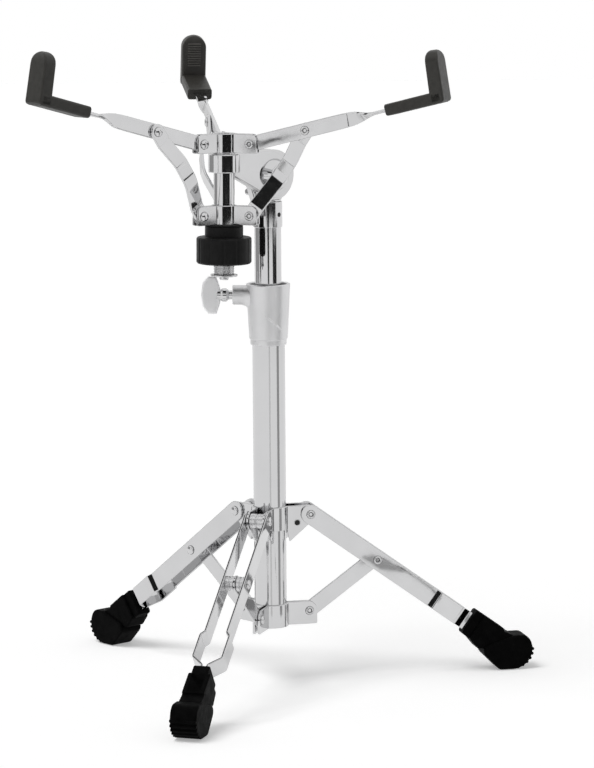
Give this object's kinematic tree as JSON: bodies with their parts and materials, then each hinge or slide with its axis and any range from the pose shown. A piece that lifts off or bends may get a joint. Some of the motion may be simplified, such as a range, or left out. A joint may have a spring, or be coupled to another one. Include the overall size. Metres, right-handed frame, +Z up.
{
  "type": "snare drum stand",
  "caption": "Folding tripod stand with a telescopic tube, a tilter and a screw-closed basket of rubber-tipped arms that grips a snare drum.",
  "frame": {"origin": "on the axis of the tripod's tube, at the floor under the feet", "axes": "+Z up along the tube; -Y towards the viewer of the picture; +X to the viewer's right, with the clamp's wing screw on -X"},
  "size_m": [0.4393, 0.4197, 0.5715],
  "materials": {
    "chrome_steel": "polished",
    "cast_metal": "satin",
    "plain_steel": "satin",
    "black_rubber": "matte",
    "black_plastic": "matte",
    "grey_plastic": "satin"
  },
  "bodies": {
    "base": {"lower_tube": "chrome_steel", "tube_plug": "black_plastic", "brace_collar": "chrome_steel", "brace_collar_rivets": "chrome_steel", "height_clamp": "cast_metal", "clamp_bush": "grey_plastic"},
    "clamp_screw": {"clamp_wing_screw": "cast_metal"},
    "right_brace": {"right_brace": "chrome_steel"},
    "right_leg": {"right_leg_strip_a": "chrome_steel", "right_leg_strip_b": "chrome_steel", "right_leg_rivets": "chrome_steel", "right_leg_spacers": "chrome_steel", "right_foot": "black_rubber"},
    "left_brace": {"left_brace": "chrome_steel"},
    "left_leg": {"left_leg_strip_a": "chrome_steel", "left_leg_strip_b": "chrome_steel", "left_leg_rivets": "chrome_steel", "left_leg_spacers": "chrome_steel", "left_foot": "black_rubber"},
    "front_brace": {"front_brace": "chrome_steel"},
    "front_leg": {"front_leg_strip_a": "chrome_steel", "front_leg_strip_b": "chrome_steel", "front_leg_rivets": "chrome_steel", "front_leg_spacers": "chrome_steel", "front_foot": "black_rubber"},
    "leg_collar": {"leg_collar": "chrome_steel", "collar_lock_block": "cast_metal"},
    "collar_screw": {"collar_wing_screw": "cast_metal"},
    "glide": {"height_glide": "grey_plastic"},
    "upper": {"upper_tube": "chrome_steel", "tube_cap": "cast_metal", "cap_screw": "plain_steel", "tilter_post": "cast_metal", "tilter_bolt": "plain_steel"},
    "tilter_nut": {"tilter_wing_nut": "cast_metal"},
    "basket": {"tilter_bracket": "cast_metal", "basket_post": "plain_steel", "top_hub": "chrome_steel", "top_hub_rivets": "chrome_steel", "end_washer": "plain_steel", "end_screw": "plain_steel"},
    "lower_hub": {"lower_hub": "chrome_steel", "lower_hub_rivets": "chrome_steel", "nut_washer": "black_plastic"},
    "nut": {"basket_nut": "black_plastic"},
    "right_arm": {"right_arm": "chrome_steel", "right_arm_rivet": "chrome_steel", "right_tip": "black_rubber"},
    "right_link": {"right_link": "chrome_steel"},
    "back_arm": {"back_arm": "chrome_steel", "back_arm_rivet": "chrome_steel", "back_tip": "black_rubber"},
    "back_link": {"back_link": "chrome_steel"},
    "left_arm": {"left_arm": "chrome_steel", "left_arm_rivet": "chrome_steel", "left_tip": "black_rubber"},
    "left_link": {"left_link": "chrome_steel"}
  },
  "joints": [
    {"name": "right_brace_fold", "type": "hinge", "parent": "base", "child": "right_brace", "pos_m": [0.03404, 0.00724, 0.06229], "axis": [0.2079, -0.9781, 0], "range_deg": [0, 48]},
    {"name": "right_leg_fold", "type": "hinge", "parent": "right_brace", "child": "right_leg", "pos_m": [0.09355, 0.01988, 0.10649], "axis": [-0.2079, 0.9781, 0], "range_deg": [0, 96]},
    {"name": "left_brace_fold", "type": "hinge", "parent": "base", "child": "left_brace", "pos_m": [-0.02329, 0.02586, 0.06229], "axis": [0.7431, 0.6691, 0], "range_deg": [0, 48]},
    {"name": "left_leg_fold", "type": "hinge", "parent": "left_brace", "child": "left_leg", "pos_m": [-0.06399, 0.07107, 0.10649], "axis": [-0.7431, -0.6691, 0], "range_deg": [0, 96]},
    {"name": "front_brace_fold", "type": "hinge", "parent": "base", "child": "front_brace", "pos_m": [-0.01075, -0.0331, 0.06229], "axis": [-0.9511, 0.309, 0], "range_deg": [0, 48]},
    {"name": "front_leg_fold", "type": "hinge", "parent": "front_brace", "child": "front_leg", "pos_m": [-0.02955, -0.09096, 0.10649], "axis": [0.9511, -0.309, 0], "range_deg": [0, 96]},
    {"name": "leg_collar_rise", "type": "hinge", "parent": "right_leg", "child": "leg_collar", "pos_m": [0.03404, 0.00724, 0.15069], "axis": [0.2079, -0.9781, 0], "range_deg": [0, 48]},
    {"name": "collar_screw_turn", "type": "hinge", "parent": "leg_collar", "child": "collar_screw", "pos_m": [0.00469, 0.02659, 0.14819], "axis": [0.1736, 0.9848, 0], "continuous": true},
    {"name": "clamp_screw_turn", "type": "hinge", "parent": "base", "child": "clamp_screw", "pos_m": [-0.0315, 0, 0.34699], "axis": [-1, 0, 0], "continuous": true},
    {"name": "height_slide", "type": "slide", "parent": "base", "child": "glide", "axis": [0, 0, 1], "range_m": [0, 0.12]},
    {"name": "basket_swivel", "type": "hinge", "parent": "glide", "child": "upper", "pos_m": [0, 0, 0.3], "axis": [0, 0, 1], "continuous": true},
    {"name": "basket_tilt", "type": "hinge", "parent": "upper", "child": "basket", "pos_m": [0, 0, 0.45299], "axis": [-0.6428, 0.766, 0], "range_deg": [-5.8, 59.2]},
    {"name": "tilter_nut_turn", "type": "hinge", "parent": "upper", "child": "tilter_nut", "pos_m": [0, 0, 0.45299], "axis": [-0.6428, 0.766, 0], "continuous": true},
    {"name": "lower_hub_slide", "type": "slide", "parent": "basket", "child": "lower_hub", "axis": [0.0107, 0.009, 0.9999], "range_m": [-0.006, 0.012]},
    {"name": "nut_spin", "type": "hinge", "parent": "lower_hub", "child": "nut", "pos_m": [-0.03775, -0.0399, 0.41265], "axis": [0.0107, 0.009, 0.9999], "range_deg": [-721, 1441]},
    {"name": "right_arm_lift", "type": "hinge", "parent": "basket", "child": "right_arm", "pos_m": [-0.01402, -0.04808, 0.48378], "axis": [-0.3583, -0.9335, 0.0122], "range_deg": [-9.12, 18.19]},
    {"name": "right_link_turn", "type": "hinge", "parent": "right_arm", "child": "right_link", "pos_m": [0.03291, -0.06593, 0.49649], "axis": [-0.3583, -0.9335, 0.0122], "range_deg": [-14.16, 7.1]},
    {"name": "back_arm_lift", "type": "hinge", "parent": "basket", "child": "back_arm", "pos_m": [-0.04084, -0.01496, 0.48377], "axis": [0.9876, 0.1564, -0.012], "range_deg": [-9.12, 18.19]},
    {"name": "back_link_turn", "type": "hinge", "parent": "back_arm", "child": "back_link", "pos_m": [-0.04854, 0.03466, 0.49646], "axis": [0.9876, 0.1564, -0.012], "range_deg": [-14.16, 7.1]},
    {"name": "left_arm_lift", "type": "hinge", "parent": "basket", "child": "left_arm", "pos_m": [-0.05611, -0.05474, 0.48429], "axis": [-0.6293, 0.7771, -0.0002], "range_deg": [-9.12, 18.19]},
    {"name": "left_link_turn", "type": "hinge", "parent": "left_arm", "child": "left_link", "pos_m": [-0.09492, -0.08617, 0.49804], "axis": [-0.6293, 0.7771, -0.0002], "range_deg": [-14.16, 7.1]}
  ],
  "couplings": [
    {"joint": "right_leg_fold", "follows": "right_brace_fold", "ratio": 2},
    {"joint": "left_brace_fold", "follows": "right_brace_fold", "ratio": 1},
    {"joint": "left_leg_fold", "follows": "right_brace_fold", "ratio": 2},
    {"joint": "front_brace_fold", "follows": "right_brace_fold", "ratio": 1},
    {"joint": "front_leg_fold", "follows": "right_brace_fold", "ratio": 2},
    {"joint": "leg_collar_rise", "follows": "right_brace_fold", "ratio": 1},
    {"joint": "nut_spin", "follows": "lower_hub_slide", "rad_per_m": 2094.4},
    {"joint": "right_arm_lift", "follows": "lower_hub_slide", "rad_per_m": 26.388},
    {"joint": "right_link_turn", "follows": "lower_hub_slide", "rad_per_m": -20.522},
    {"joint": "back_arm_lift", "follows": "lower_hub_slide", "rad_per_m": 26.388},
    {"joint": "back_link_turn", "follows": "lower_hub_slide", "rad_per_m": -20.522},
    {"joint": "left_arm_lift", "follows": "lower_hub_slide", "rad_per_m": 26.388},
    {"joint": "left_link_turn", "follows": "lower_hub_slide", "rad_per_m": -20.522}
  ]
}
